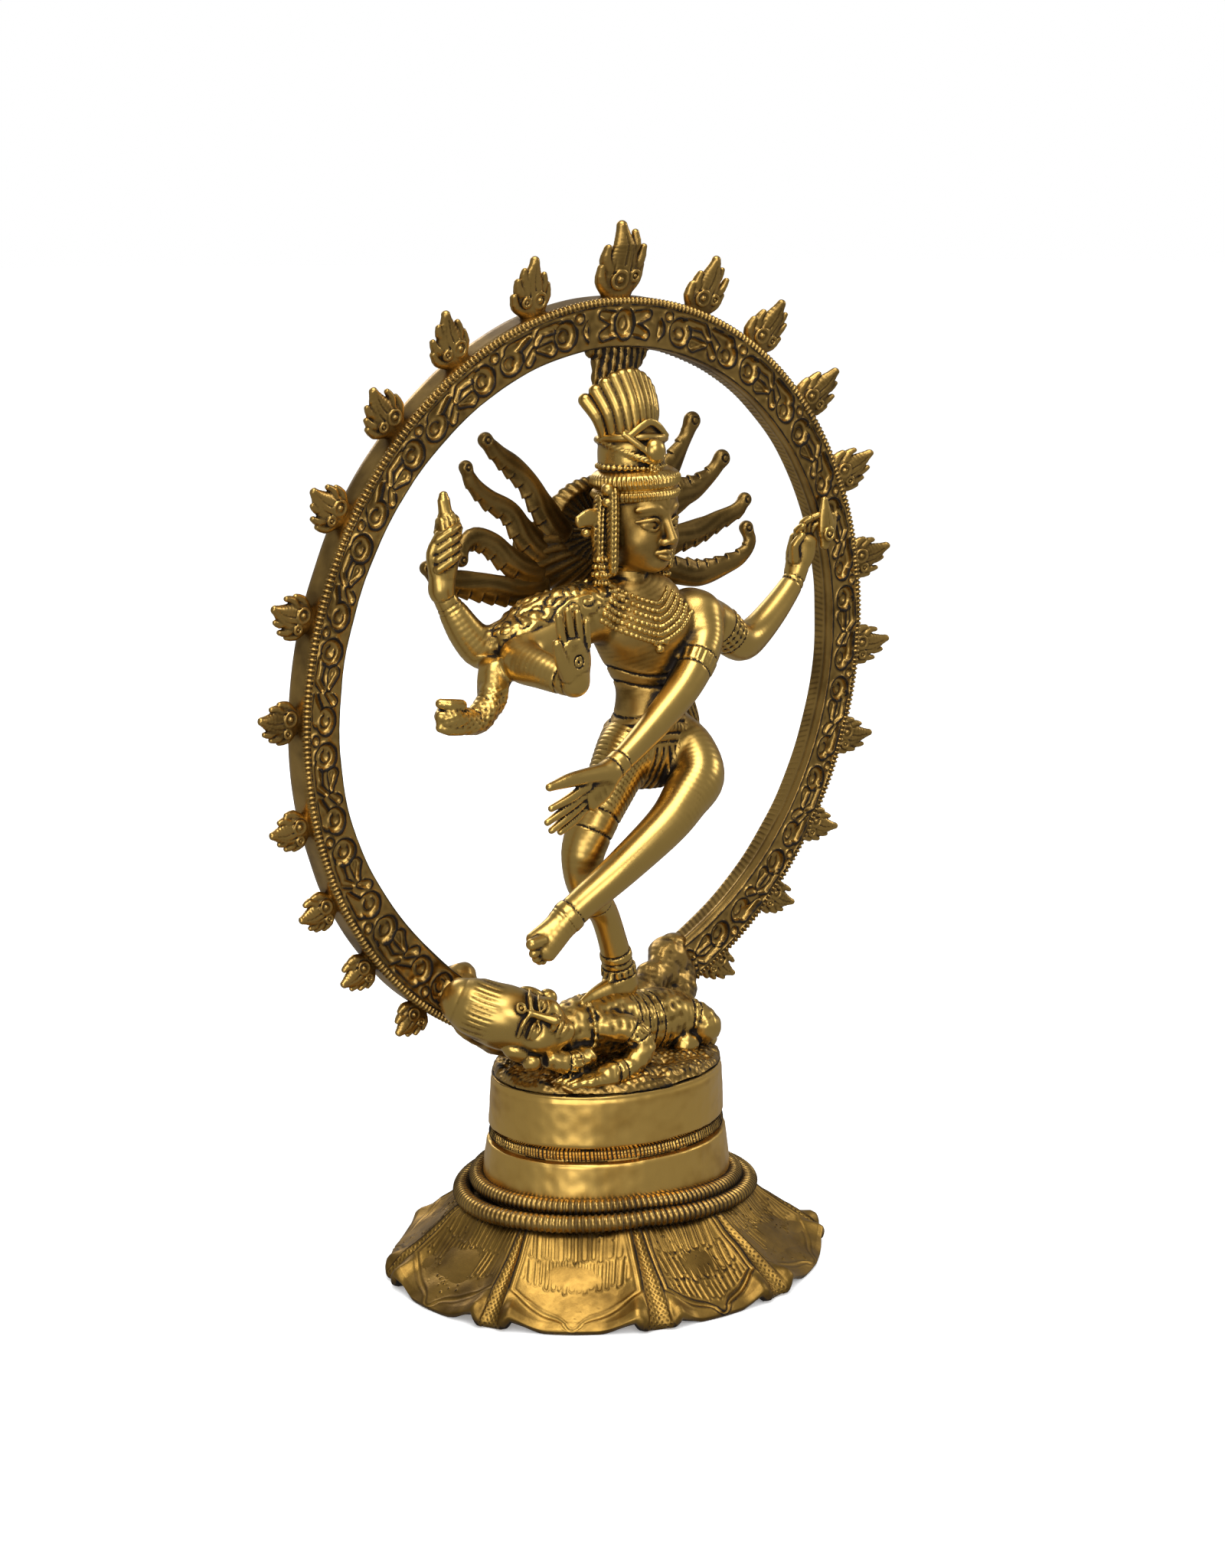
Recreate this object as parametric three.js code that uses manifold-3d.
// A brass Nataraja: a dancer inside an oval arch of flames, on a dwarf, on a lotus pedestal.
// Millimetres, +Z up. The statue faces -Y, so the dancer's own right is -X. The origin is the
// middle of the pedestal's foot, on the surface that it stands on.
import * as THREE from 'three';
import { mergeVertices } from 'three/addons/utils/BufferGeometryUtils.js';
import Module from 'manifold-3d';

const wasm = await Module();
wasm.setup();

// Driving dimensions.
const GAP = 0.3; // left between pieces that meet
// The lotus skirt's 8 petals meet at ribs, in degrees from the front. They aren't spaced evenly.
const RIBS = [-108.4, -63.8, -20.4, 15.7, 62.9, 110.1, 157.3, 204.5, 251.6];
const SKIRT_WALL = [[68.8, 60.6, 0], [68.5, 60.3, 3], [64.4, 55.8, 8], [56.4, 47, 15.4]]; // half x, half y, z
const SKIRT_TOP = { x: 48, y: 38, z: 22 };
const LOWER_ROPE = { x: 46.4, y: 36.4, z: 24.7, radius: 2.4 };
const UPPER_ROPE = { x: 41.4, y: 33.8, z: 28.4, radius: 2.2 };
const DRUM = { x: 37.2, y: 29.7, top: 60.3, wall: 2.8 };
const ARCH = {
  y: 6.4, z: 176, // middle of the oval
  outer: { x: 100.4, z: 111.6 },
  inner: { x: 89, z: 97.5 },
  deep: 8,
  lean: THREE.MathUtils.degToRad(5.9), // the top leans forwards
  from: THREE.MathUtils.degToRad(-69),
  to: THREE.MathUtils.degToRad(243),
};
// Each flame's place in degrees from the top of the arch. The hand has not spaced them evenly.
const FLAMES = {
  right: [16.6, 32, 46.2, 61, 76.4, 90.8, 106.6, 120, 132.6, 145.8],
  left: [17, 31, 46, 60.6, 75.4, 89.6, 104.2, 119.4, 133, 148],
};
const FLAME = { tall: 15.6, wide: 6.2, deep: 3.6, lean: 2.4 }; // lean: how far the tip is forwards
const TOP_FLAME = { tall: 20.6, wide: 7.4, deep: 4, lean: 2.4 };
const SMALLER = 0.042; // each flame is this much smaller than the one above it
const STUD = { radius: 2.5, top: 63, bottom: 46 };
const STUD_HOLE = STUD.radius + 0.8;
const WASHER = { radius: 8, bottom: 55.6, top: 57.1 };
const NUT = { radius: 5.5, bottom: 51, top: 55.2 };

const UP = [0, 0, 1];

const brass = (name, colour, roughness) =>
  Object.assign(new THREE.MeshStandardMaterial({ color: colour, roughness, metalness: 1 }), { name });
const bright = brass('bright_brass', 0xb58a35, 0.35);
const aged = brass('aged_brass', 0x8c6c34, 0.5);
const dark = brass('dark_brass', 0x5a4424, 0.6);

// ---- solids -------------------------------------------------------------------------------

function solidOf(geometry) {
  const bare = geometry.clone();
  bare.deleteAttribute('normal');
  bare.deleteAttribute('uv');
  const merged = mergeVertices(bare, 1e-4);
  return new wasm.Manifold(new wasm.Mesh({
    numProp: 3,
    vertProperties: new Float32Array(merged.attributes.position.array),
    triVerts: new Uint32Array(merged.index.array),
  }));
}

function geometryOf(solid) {
  const { numProp, numVert, vertProperties, triVerts } = solid.getMesh();
  const position = new Float32Array(numVert * 3);
  for (let i = 0; i < numVert; i++) {
    position.set(vertProperties.subarray(i * numProp, i * numProp + 3), i * 3);
  }
  const geometry = new THREE.BufferGeometry();
  geometry.setAttribute('position', new THREE.BufferAttribute(position, 3));
  geometry.setIndex(new THREE.BufferAttribute(triVerts, 1));
  geometry.computeVertexNormals();
  return geometry;
}

const largest = (solid) => solid.decompose().sort((a, b) => b.volume() - a.volume())[0];

// A closed form round a bent line. Each station is [x, y, z, half width, half depth], and the
// depth is measured towards `facing`. Both ends are rounded.
function bent(stations, { grow = 0, sides = 8, between = 1, facing = [0, -1, 0], cap = 0.75 } = {}) {
  const points = stations.map(([x, y, z]) => new THREE.Vector3(x, y, z));
  const line = new THREE.CatmullRomCurve3(points, false, 'centripetal');
  const sizes = stations.map(([, , , wide, deep = wide]) => [wide + grow, deep + grow]);
  const spans = stations.length - 1;
  const rings = spans * between;
  const outline = [[0, -1], [0.72, -0.7]];
  for (let i = 0; i <= rings; i++) outline.push([1, i / rings]);
  outline.push([0.72, 1.7], [0, 2]);
  const form = new THREE.LatheGeometry(outline.map(([r, s]) => new THREE.Vector2(r, s)), sides);
  const towards = new THREE.Vector3(...facing);
  const position = form.attributes.position;
  const vertex = new THREE.Vector3();
  for (let i = 0; i < position.count; i++) {
    vertex.fromBufferAttribute(position, i);
    const along = THREE.MathUtils.clamp(vertex.y, 0, 1);
    const past = vertex.y - along;
    const station = Math.min(Math.floor(along * spans), spans - 1);
    const share = along * spans - station;
    const wide = THREE.MathUtils.lerp(sizes[station][0], sizes[station + 1][0], share);
    const deep = THREE.MathUtils.lerp(sizes[station][1], sizes[station + 1][1], share);
    const tangent = line.getTangent(along);
    const depth = towards.clone().addScaledVector(tangent, -towards.dot(tangent)).normalize();
    const width = tangent.clone().cross(depth);
    const centre = line.getPoint(along).addScaledVector(tangent, past * cap * Math.min(wide, deep));
    centre.addScaledVector(width, vertex.x * wide).addScaledVector(depth, vertex.z * deep);
    position.setXYZ(i, centre.x, centre.y, centre.z);
  }
  return solidOf(form);
}

// A form turned round +Z from [half x, half y, z] points, which start and end on the axis or
// come back to the first. `lobe` scales the plan outline at an angle and a height.
function oval(outline, { segments = 48, lobe = () => 1 } = {}) {
  const form = new THREE.LatheGeometry(outline.map(([x, , z]) => new THREE.Vector2(x, z)), segments);
  const position = form.attributes.position;
  for (let i = 0; i < position.count; i++) {
    const [x, y, z] = outline[i % outline.length];
    const angle = 2 * Math.PI * ((Math.floor(i / outline.length) % segments) / segments);
    const scale = lobe(angle, z);
    position.setXYZ(i, x * scale * Math.sin(angle), -y * scale * Math.cos(angle), z);
  }
  return solidOf(form);
}

function ellipsoid([x, y, z], [rx, ry, rz], grow = 0, detail = 12) {
  const form = new THREE.SphereGeometry(1, detail, Math.round(detail * 0.7));
  form.scale(rx + grow, rz + grow, ry + grow).rotateX(Math.PI / 2).translate(x, y, z);
  return solidOf(form);
}

function slab(bottom, top) {
  const half = 150;
  const form = new THREE.BoxGeometry(2 * half, 2 * half, top - bottom);
  return solidOf(form.translate(0, 0, (top + bottom) / 2));
}

// ---- the object ---------------------------------------------------------------------------

const statue = new THREE.Group();
const shapes = new Map();

// Adds a piece. `build` makes its solid, grown by a number of millimetres all over, and the
// piece is cut back from the pieces in `meets`, with a gap.
function piece(name, material, build, meets = []) {
  shapes.set(name, build);
  let solid = build(0);
  for (const other of meets) solid = solid.subtract(shapes.get(other)(GAP));
  const mesh = new THREE.Mesh(geometryOf(largest(solid)), material);
  mesh.name = name;
  statue.add(mesh);
}

// ---- pedestal -----------------------------------------------------------------------------

// Each petal bulges outwards, and the bulge fades towards the top of the skirt.
function petalLobe(angle, z) {
  const turn = THREE.MathUtils.radToDeg(angle);
  const place = turn < RIBS.at(-1) ? turn : turn - 360;
  const next = RIBS.findIndex((rib) => rib > place);
  const share = (place - RIBS[next - 1]) / (RIBS[next] - RIBS[next - 1]);
  const bulge = Math.sin(Math.PI * share) ** 0.6;
  const valley = 0.055;
  return 1 - valley * (1 - bulge) * (1 - z / SKIRT_TOP.z);
}

function lotusSkirt() {
  const thick = 3;
  const ledge = 12.5; // the flange that the drum stands on
  const { x, y, z } = SKIRT_TOP;
  const rim = [[x, y, z], [x - ledge, y - ledge, z], [x - ledge, y - ledge, z - thick]];
  const inside = SKIRT_WALL.map(([a, b, c]) => [a - thick, b - thick, Math.max(c - 1, 0)]);
  const outline = [...SKIRT_WALL, ...rim, ...inside.slice(0, 3).reverse(), SKIRT_WALL[0]];
  return oval(outline, { segments: 48, lobe: petalLobe });
}

function ropeRing({ x, y, z, radius }, grow) {
  const around = 6;
  const outline = [];
  for (let i = 0; i <= around; i++) {
    const turn = (2 * Math.PI * (i % around)) / around;
    const out = (radius + grow) * Math.cos(turn);
    outline.push([x + out, y + out, z + (radius + grow) * Math.sin(turn)]);
  }
  return oval(outline, { segments: 40 });
}

function pedestalDrum() {
  const { x, y, top, wall } = DRUM;
  const sunk = 1; // depth of the groove round the middle
  const bottom = SKIRT_TOP.z + GAP;
  const outline = [
    [x + 2.6, y + 3, bottom], [x + 1, y + 1.6, 40], [x + 0.9 - sunk, y + 1.5 - sunk, 40.7],
    [x + 0.5 - sunk, y + 1 - sunk, 44.4], [x + 0.4, y + 0.9, 45.1], [x, y, top], [STUD_HOLE, STUD_HOLE, top],
    [STUD_HOLE, STUD_HOLE, top - wall], [x - wall, y - wall, top - wall], [x - 1.4, y - 0.8, bottom],
  ];
  return oval([...outline, outline[0]], { segments: 40 });
}

function groundPlate(grow = 0) {
  const base = DRUM.top + GAP;
  const inset = 0.6;
  const uneven = (angle) => 1 + 0.012 * Math.sin(5 * angle + 1) + 0.008 * Math.sin(9 * angle);
  const x = DRUM.x - inset + grow;
  const y = DRUM.y - inset + grow;
  return oval([
    [0, 0, base - grow], [x, y, base - grow], [x - 0.5, y - 0.5, 62.6 + grow],
    [x * 0.8, y * 0.8, 64.2 + grow], [0, 0, 65 + grow],
  ], { segments: 30, lobe: uneven });
}

function rod(radius, bottom, top, sides = 12) {
  const form = new THREE.CylinderGeometry(radius, radius, top - bottom, sides);
  return solidOf(form.rotateX(Math.PI / 2).translate(0, 0, (top + bottom) / 2));
}

function ringOf(outer, inner, bottom, top, sides) {
  return rod(outer, bottom, top, sides).subtract(rod(inner, bottom - 1, top + 1, 16));
}

piece('lotus_skirt', aged, lotusSkirt);
piece('rope_ring_lower', aged, (grow) => ropeRing(LOWER_ROPE, grow));
piece('rope_ring_upper', aged, (grow) => ropeRing(UPPER_ROPE, grow), ['rope_ring_lower']);
piece('pedestal_drum', bright, pedestalDrum, ['rope_ring_upper', 'rope_ring_lower']);
piece('fixing_stud', dark, (grow) => rod(STUD.radius + grow, STUD.bottom - grow, STUD.top + grow));
piece('ground_plate', aged, groundPlate, ['fixing_stud']);
const bore = STUD.radius + GAP + 0.2;
piece('fixing_washer', dark, () => ringOf(WASHER.radius, bore, WASHER.bottom, WASHER.top, 20));
piece('fixing_nut', dark, () => ringOf(NUT.radius, bore, NUT.bottom, NUT.top, 6));

// ---- dancer: body, in stations of [x, y, z, half width, half depth] -------------------------

const TORSO = [
  [1.2, -8.8, 211, 5.5, 5.6], [1.6, -9, 205.4, 6.3, 6], [2.4, -9.2, 202, 13, 7.4],
  [3.8, -9.2, 197.4, 18.6, 9], [4.6, -9.3, 190.6, 16.4, 10], [5.4, -9.3, 183, 12.2, 9],
  [6.2, -9.4, 176, 9.8, 8], [6.8, -9.6, 169.5, 10.6, 8.8], [7.4, -9.8, 162.5, 13.6, 10],
  [7.6, -9.8, 156.5, 14.6, 10], [7.6, -9.8, 152, 11.6, 8.6],
];
const STANDING_LEG = [
  [-1.2, -10.4, 157, 8.6], [-6.4, -11.5, 149, 8.2], [-14.4, -13.4, 139, 7.4], [-19.2, -14, 129.5, 6.3],
  [-16.4, -12.2, 120.5, 5.8], [-9.4, -9.2, 111.5, 4.7], [-2.8, -6.6, 100, 4.3], [0.6, -5, 91.5, 4.8],
  [1.8, -4.6, 86.6, 5.3],
];
const STANDING_FOOT = [[3, -4, 85.2, 3.9, 3.2], [-5, -6.6, 84.2, 4, 2.7], [-14.5, -9.9, 82.5, 3.9, 1.7]];
const RAISED_LEG = [
  [16.2, -8.5, 158.5, 9.9], [18.4, -14.5, 155, 9.2], [16.6, -21.5, 149.4, 8.2], [9, -25.2, 144, 7],
  [-2, -27.7, 136.6, 6.1], [-15.6, -28, 127.9, 5.3], [-28, -27, 119.8, 4.6], [-33.6, -26, 115.6, 4.3],
];
const RAISED_FOOT = [
  [-33.4, -26, 115.6, 4.1, 4.1], [-39, -26.9, 111.7, 4.7, 3.5], [-45, -27.8, 107.6, 4.8, 2.2],
];
const REAR_RIGHT_ARM = [
  [-15, -8, 198.5, 7], [-29, -6.6, 195.2, 6.7], [-40.6, -5.6, 191.4, 6.3], [-46.8, -5.2, 191, 6],
  [-52, -4.4, 195.8, 5.1], [-57, -3.6, 203.6, 3.7], [-59.2, -3.1, 209, 3.7, 3.2], [-58.6, -3.4, 215, 5, 3.2],
  [-57.8, -3.4, 222.4, 4.4, 2.7],
];
const FRONT_RIGHT_ARM = [
  [-15, -10.5, 197.4, 7.2], [-28, -12.5, 193.6, 7.2], [-39, -14.5, 190.2, 6.8], [-43, -19.4, 188.4, 6.1],
  [-42.2, -27.4, 187, 5.2], [-39.8, -37.4, 185.4, 4.3],
];
const FRONT_RIGHT_HAND = [
  [-39.4, -38, 185, 4, 3.8], [-40, -39.6, 190.6, 5.5, 2.8], [-41, -40.2, 196.6, 5.4, 2],
  [-42.6, -40.8, 203.4, 4.2, 1.6],
];
const REAR_LEFT_ARM = [
  [24.6, -8, 195.6, 6.9], [35.2, -6.8, 191, 6.4], [42.8, -5.4, 186, 5.9], [47.6, -4.4, 184.5, 5.6],
  [53.8, -3.2, 186.8, 5], [62, -1.8, 192.8, 4.3], [70, -0.6, 200.4, 3.5], [72.2, -0.4, 205.4, 3.8, 2.9],
  [74, -1, 211.5, 4.5, 2.5], [74.6, -2, 218, 3.7, 2.2],
];
const FRONT_LEFT_ARM = [
  [24.8, -11.5, 194.8, 7.2], [23, -15.6, 188.2, 6.2], [18.2, -19.2, 182.8, 5.5], [10.4, -22.4, 176, 5],
  [-3, -25.5, 166.8, 4.3], [-14, -27.6, 160, 3.6], [-21, -28.7, 156, 3.6, 2.9], [-29, -29.6, 151.8, 5.8, 2.3],
  [-37.5, -31, 148.4, 4.8, 1.7],
];
const bents = (lines, { grow, ...options }) =>
  lines.map((line) => bent(line, { grow, ...options })).reduce((all, one) => all.add(one));

piece('torso', bright, (grow) => bent(TORSO, { grow, sides: 12 }));
piece('standing_leg', bright, (grow) => bents([STANDING_LEG, STANDING_FOOT], { grow }), ['torso']);
piece('raised_leg', bright, (grow) => bents([RAISED_LEG, RAISED_FOOT], { grow }), ['torso', 'standing_leg']);
piece('rear_right_arm', bright, (grow) => bent(REAR_RIGHT_ARM, { grow }), ['torso']);
const frontRightArm = (grow) => bent(FRONT_RIGHT_ARM, { grow, facing: UP })
  .add(bent(FRONT_RIGHT_HAND, { grow }));
piece('front_right_arm', bright, frontRightArm, ['torso', 'rear_right_arm']);
piece('rear_left_arm', bright, (grow) => bent(REAR_LEFT_ARM, { grow }), ['torso']);
piece('front_left_arm', bright, (grow) => bent(FRONT_LEFT_ARM, { grow }),
  ['torso', 'rear_left_arm', 'standing_leg', 'raised_leg']);

// The necklaces lie on the chest as one layer.
const NECKLACE = { thick: 1.3, bottom: 189, top: 206 };
const collar = (grow) => bent(TORSO, { grow: NECKLACE.thick + grow, sides: 12 })
  .intersect(slab(NECKLACE.bottom - grow, NECKLACE.top + grow));
piece('necklace_collar', bright, collar,
  ['torso', 'rear_right_arm', 'front_right_arm', 'rear_left_arm', 'front_left_arm']);

// ---- dancer: head and headdress ---------------------------------------------------------------

const HEAD = { centre: [2.2, -10.5, 223.5], half: [11.2, 12, 14] };

piece('head', bright, (grow) => ellipsoid(HEAD.centre, HEAD.half, grow, 14), ['torso', 'necklace_collar']);

// A band turned round a vertical line at [x, y], as rings of [half x, half y, z].
function turned([x, y], rings, grow, segments) {
  const bottom = rings[0][2] - grow;
  const top = rings.at(-1)[2] + grow;
  const wall = rings.map(([a, b, z]) => [a + grow, b + grow, z]);
  wall[0][2] = bottom;
  wall.at(-1)[2] = top;
  return oval([[0, 0, bottom], ...wall, [0, 0, top]], { segments }).translate([x, y, 0]);
}

const TIARA = [[12.4, 13, 231.4], [13, 13.6, 235], [12.4, 13, 240.4]];
const TOPKNOT = [[9.4, 9.4, 240.7], [10, 10, 245], [9, 9, 250.4]];
piece('tiara_band', bright, (grow) => turned([1.6, -10.4], TIARA, grow, 28), ['head']);
piece('topknot', bright, (grow) => turned([0.6, -9.6], TOPKNOT, grow, 24), ['tiara_band']);

// Rods stand in a fan on a core, splayed and curved back at the sides.
const FAN_CORE = [[7, 5.4, 250.7], [7.4, 5, 256], [5, 3, 261]];
function featherFan(grow) {
  const rods = 9;
  const middle = (rods - 1) / 2;
  let fan = turned([0, -9.6], FAN_CORE, grow, 16);
  for (let i = 0; i < rods; i++) {
    const side = (i - middle) / middle;
    const foot = [0.2 + 7.4 * side, -13.4 + 4 * side * side, 250.2];
    const tip = [-0.8 + 12.6 * side, -10.4 + 5 * side * side, 266.4 - 9.4 * side * side];
    fan = fan.add(bent([[...foot, 1.25], [...tip, 1.55]], { grow, sides: 6 }));
  }
  return fan;
}
piece('feather_fan', bright, featherFan, ['topknot']);

// The ear ornament and plaited tress that hang on each side of the face, in steps outwards.
const TASSEL = [
  [12.6, -8.5, 233, 2.2, 3], [14, -8, 224, 3, 3.6], [13.4, -8, 214, 2.6, 3],
  [12.4, -8.4, 207.5, 2.4, 2.6],
];
for (const [name, side] of [['right_ear_tassel', -1], ['left_ear_tassel', 1]]) {
  const line = TASSEL.map(([out, ...rest]) => [1.6 + side * out, ...rest]);
  const meets = ['head', 'tiara_band', 'torso', 'necklace_collar'];
  piece(name, bright, (grow) => bent(line, { grow, sides: 8 }), meets);
}

// ---- dancer: hair ---------------------------------------------------------------------------

// The locks spring from a dished fan behind the head, flat in depth.
const HAIR_HUB = [
  [-20, 2.6, 216.5, 8, 2], [-10, 2, 222.5, 10, 2.4], [2, 1.4, 224.5, 10.6, 2.6], [14, 2, 222.8, 9.6, 2.4],
  [21.5, 2.6, 220, 8.4, 2],
];
const LOCKS = {
  hair_lock_right_1: [
    [-15, 3, 228, 3.8, 1.8], [-20.5, 3.4, 237.4, 3.6, 1.8], [-30, 3.8, 243.6, 3.2, 1.7],
    [-38, 4, 248.4, 2.4, 1.6],
  ],
  hair_lock_right_2: [
    [-21.5, 3, 225, 4, 1.8], [-30, 3.4, 233, 3.8, 1.8], [-40, 3.8, 236, 3.2, 1.7],
    [-46.5, 4, 243, 2.3, 1.6],
  ],
  hair_lock_right_3: [
    [-26.5, 3, 217.6, 4, 1.8], [-36, 3.4, 221.6, 4, 1.8], [-46, 3.8, 225.3, 3.5, 1.7],
    [-54, 4, 228, 2.4, 1.6],
  ],
  hair_lock_right_4: [
    [-26, 3, 209.8, 4, 1.8], [-36, 3.4, 210.6, 4.2, 1.8], [-47, 3.8, 212.6, 3.7, 1.7],
    [-58.5, 4.4, 216.4, 2.7, 1.6],
  ],
  hair_lock_left_1: [
    [19, 3, 232.2, 4.2, 1.8], [24.5, 3.4, 239.2, 3.6, 1.8], [28.5, 3.8, 245.4, 2.7, 1.7],
    [32.6, 4, 252.6, 2.7, 1.8],
  ],
  hair_lock_left_2: [
    [27, 3, 228.6, 4.3, 1.8], [35, 3.4, 233.2, 3.6, 1.8], [40.5, 3.8, 237.4, 2.8, 1.7],
    [44.6, 4, 242.6, 2.7, 1.8],
  ],
  hair_lock_left_3: [
    [28.5, 3, 218.6, 4, 1.8], [38, 3.4, 222.6, 3.8, 1.8], [46.5, 3.8, 226.2, 3, 1.7],
    [53.6, 4, 231.4, 2.4, 1.8],
  ],
  hair_lock_left_4: [
    [27.5, 3, 210.4, 4, 1.8], [39, 3.4, 210, 3.8, 1.8], [48.5, 3.8, 212.2, 3.3, 1.7],
    [54.6, 4, 220.2, 2.6, 1.8],
  ],
};
piece('hair_hub', dark, (grow) => bent(HAIR_HUB, { grow }),
  ['head', 'tiara_band', 'torso', 'necklace_collar', 'right_ear_tassel', 'left_ear_tassel']);
Object.entries(LOCKS).forEach(([name, stations], i, all) => {
  const before = i > 0 ? [all[i - 1][0]] : [];
  const meets = ['hair_hub', 'rear_right_arm', 'torso', 'rear_left_arm', 'front_right_arm', ...before];
  piece(name, dark, (grow) => bent(stations, { grow, sides: 8 }), meets);
});

// ---- dancer: what the hands and the waist carry ----------------------------------------------

const HAND_DRUM = [
  [-60.2, -3.6, 225.6, 3, 2.6], [-59.6, -3.3, 231, 2.4, 2.2], [-59.2, -3.1, 236.4, 1.9, 1.7],
];
const SERPENT = [
  [-46.5, -16.6, 180, 4.4], [-50.5, -17.8, 174.6, 4], [-57, -18.6, 171.4, 3.9], [-64, -19, 171.6, 4],
  [-69, -19.4, 173, 4.4],
];
const SASH = [
  [18, 1.5, 181, 2.4, 1.6], [26, 3, 175, 2.8, 1.4], [29.5, 3.4, 167, 3, 1.4], [30, 3, 159, 3.2, 1.6],
  [26, 1.5, 152, 2.8, 1.6],
];
const slim = (line) => (grow) => bent(line, { grow, sides: 8 });
piece('hand_drum', bright, slim(HAND_DRUM), ['rear_right_arm']);
piece('arm_serpent', bright, slim(SERPENT), ['rear_right_arm', 'front_right_arm']);
piece('waist_sash', aged, slim(SASH), ['torso', 'raised_leg', 'standing_leg', 'rear_left_arm']);

// ---- dwarf ----------------------------------------------------------------------------------

const DWARF_BODY = [
  [-20, -7, 73.5, 7, 6.5], [-10, -7, 74, 10, 9], [4, -6, 73.4, 9.4, 9], [16, -4.5, 73, 9.6, 9],
  [23.5, -4, 72.4, 7.4, 7],
];
const DWARF_LEGS = [[21, -3, 71.5, 6, 6], [27.5, -7, 71.2, 5.2, 5.6], [28.4, -13, 69, 4, 4]];
const DWARF_ARM = [
  [-11, -14, 75, 4.6, 4], [-3.5, -18, 73.5, 4.2, 4], [-6, -23.5, 68.8, 3.4, 3], [-17, -23.5, 67.4, 3, 2.6],
  [-26, -19.4, 67.2, 3.4, 2.2],
];
const DWARF_HEAD = [
  [-22, -11, 74.8, 8.2, 7.8], [-28, -9.5, 77.2, 10.4, 9.6], [-35, -7.5, 79.8, 10.8, 10],
  [-41.5, -5, 82.6, 8.6, 8.4],
];
const dwarfBody = (grow) => bent(DWARF_BODY, { grow, facing: UP, sides: 12 })
  .add(bents([DWARF_LEGS, DWARF_ARM], { grow, facing: UP }));
piece('dwarf_body', bright, dwarfBody, ['ground_plate', 'standing_leg']);
piece('dwarf_head', bright, (grow) => bent(DWARF_HEAD, { grow, facing: UP, sides: 12 }),
  ['ground_plate', 'dwarf_body']);

// ---- arch of flames ---------------------------------------------------------------------------

// The arch is drawn flat, x across and y up, then stood up and leant forwards.
const stand = (solid) => solidOf(geometryOf(solid)
  .rotateX(Math.PI / 2 + ARCH.lean).translate(0, ARCH.y, ARCH.z));

function archBand(grow) {
  const { outer, inner, from, to, deep } = ARCH;
  const bevel = 1;
  const outline = new THREE.Shape();
  outline.absellipse(0, 0, outer.x - bevel + grow, outer.z - bevel + grow, from, to, false);
  outline.absellipse(0, 0, inner.x + bevel - grow, inner.z + bevel - grow, to, from, true);
  outline.closePath();
  const band = new THREE.ExtrudeGeometry(outline, {
    depth: deep - 2 * bevel + 2 * grow,
    curveSegments: 28,
    bevelThickness: bevel,
    bevelSize: bevel,
    bevelSegments: 1,
  });
  return stand(solidOf(band.translate(0, 0, -deep / 2 + bevel - grow)));
}

const FOOT_LEFT = [
  [37, 15.4, 83, 7, 4.4], [39, 14, 76, 8, 5.5], [31, 11, 69.5, 9, 6.5], [22, 10, 66.5, 8, 5],
];
const FOOT_RIGHT = [
  [-43, 15.2, 84.5, 7, 4.4], [-40, 13.6, 78, 7, 5], [-32, 11.5, 71.5, 7, 5.6], [-24, 10, 67, 6, 5],
];
piece('flame_arch', aged, (grow) => archBand(grow).add(bents([FOOT_LEFT, FOOT_RIGHT], { grow })),
  ['ground_plate', 'dwarf_body', 'dwarf_head', 'rear_left_arm']);

// A flame stands on the outside of the arch at an angle, square to it, and its tip leans forwards.
function flame(angle, { tall, wide, deep, lean }, size) {
  const { outer } = ARCH;
  const root = 1.2;
  const out = new THREE.Vector2(Math.cos(angle) / outer.x, Math.sin(angle) / outer.z).normalize();
  const foot = new THREE.Vector2(outer.x * Math.cos(angle), outer.z * Math.sin(angle));
  foot.addScaledVector(out, root);
  const rings = [[0, 0.78], [0.28, 1], [0.62, 0.74], [1, 0.25]]; // height and width as shares
  const cap = 0.75;
  const length = size * (tall - cap * wide * rings.at(-1)[1]) - root;
  const stations = rings.map(([up, share]) => {
    const at = foot.clone().addScaledVector(out, up * length);
    return [at.x, at.y, lean * up ** 1.5, size * wide * share, size * deep * (0.45 + 0.55 * share)];
  });
  return stand(bent(stations, { sides: 6, facing: UP, cap }));
}

const TOP = Math.PI / 2;
piece('flame_top', aged, () => flame(TOP, TOP_FLAME, 1), ['flame_arch']);
for (const [side, turn] of [['right', 1], ['left', -1]]) {
  FLAMES[side].forEach((degrees, i) => {
    const angle = TOP + turn * THREE.MathUtils.degToRad(degrees);
    piece(`flame_${side}_${i + 1}`, aged, () => flame(angle, FLAME, 1 - SMALLER * i), ['flame_arch']);
  });
}

const BRACKET = [[-1.6, -5, 261, 5.6, 2.2], [-0.6, -4.3, 266, 7, 2.5], [0.2, -3.7, 271.4, 10.6, 3]];
piece('crown_bracket', dark, (grow) => bent(BRACKET, { grow, cap: 0.3 }), ['feather_fan', 'flame_arch']);
const HAND_FLAME = [[79.6, -4.2, 211.5, 3, 2.2], [80, -4.4, 216, 3.8, 2.2], [79.4, -4.6, 224.5, 1.4, 1.4]];
piece('hand_flame', bright, slim(HAND_FLAME), ['rear_left_arm', 'flame_arch']);

export default statue;
